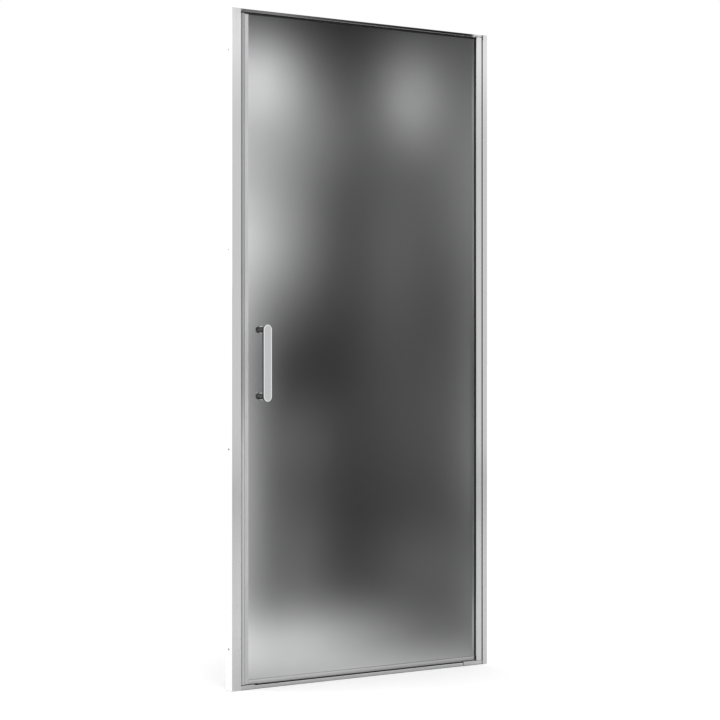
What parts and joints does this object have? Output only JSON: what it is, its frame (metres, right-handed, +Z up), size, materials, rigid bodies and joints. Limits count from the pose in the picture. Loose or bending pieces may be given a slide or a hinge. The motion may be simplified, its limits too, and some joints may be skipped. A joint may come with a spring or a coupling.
{
  "type": "shower door",
  "caption": "Framed pivot shower door with a frosted glass leaf on a hinge stile, magnetic closing strip, sweep seal and vertical pull handle.",
  "frame": {"origin": "middle of the sill's underside, where the door stands on the shower tray", "axes": "+X along the doorway towards the hinge side, -Y out of the shower towards the handle side, +Z up"},
  "size_m": [1, 0.0622, 1.95],
  "materials": {
    "polished_profile": "polished extrusion, faint draw lines along its length",
    "dark_profile": "dark anodised extrusion behind the running gap of the leaf",
    "plated_trim": "polished plate over cast trim",
    "handle_chrome": "mirror polish on the drums, softer polish on the bar",
    "screw_steel": "plain stainless steel",
    "frosted_glass": "neutral frosted glass, matt on both faces",
    "seal_plastic": "translucent grey soft plastic",
    "black_rubber": "black weather seal and glazing rubber",
    "milky_rubber": "milky soft glazing seat",
    "magnet_strip": "black bonded magnet strip",
    "bush_nylon": "natural white nylon",
    "clear_plastic": "clear soft plastic",
    "cap_plastic": "silver grey moulded plastic"
  },
  "bodies": {
    "frame": {"wall_channel_left": "polished_profile", "wall_channel_right": "polished_profile", "channel_caps": "plated_trim", "strike_jamb": "polished_profile", "pivot_jamb": "dark_profile", "jamb_screws": "screw_steel", "jamb_screw_caps": "cap_plastic", "head_rail": "polished_profile", "sill": "polished_profile", "head_corner_block": "plated_trim", "sill_corner_block": "plated_trim", "upper_pivot_block": "plated_trim", "lower_pivot_block": "plated_trim", "block_screws": "screw_steel", "upper_bush": "bush_nylon", "lower_bush": "bush_nylon", "thrust_washer": "bush_nylon", "frame_seal": "seal_plastic", "frame_magnet": "magnet_strip"},
    "leaf": {"glass_panel": "frosted_glass", "hinge_stile": "polished_profile", "glazing_seat": "milky_rubber", "glazing_gasket": "black_rubber", "upper_stile_plug": "plated_trim", "lower_stile_plug": "plated_trim", "upper_pivot_pin": "screw_steel", "lower_pivot_pin": "screw_steel", "plug_screws": "screw_steel", "leaf_seal": "seal_plastic", "leaf_magnet": "magnet_strip", "sweep_seal": "seal_plastic", "sweep_wiper": "black_rubber", "top_seal": "black_rubber", "handle_bar": "handle_chrome", "handle_posts": "handle_chrome", "handle_washers": "clear_plastic", "handle_sleeves": "clear_plastic", "handle_screws": "screw_steel", "handle_caps": "handle_chrome"}
  },
  "joints": [
    {"name": "leaf_swing", "type": "hinge", "parent": "frame", "child": "leaf", "pos_m": [0.47, -0.003, 0], "axis": [0, 0, 1], "range_deg": [0, 90]}
  ]
}
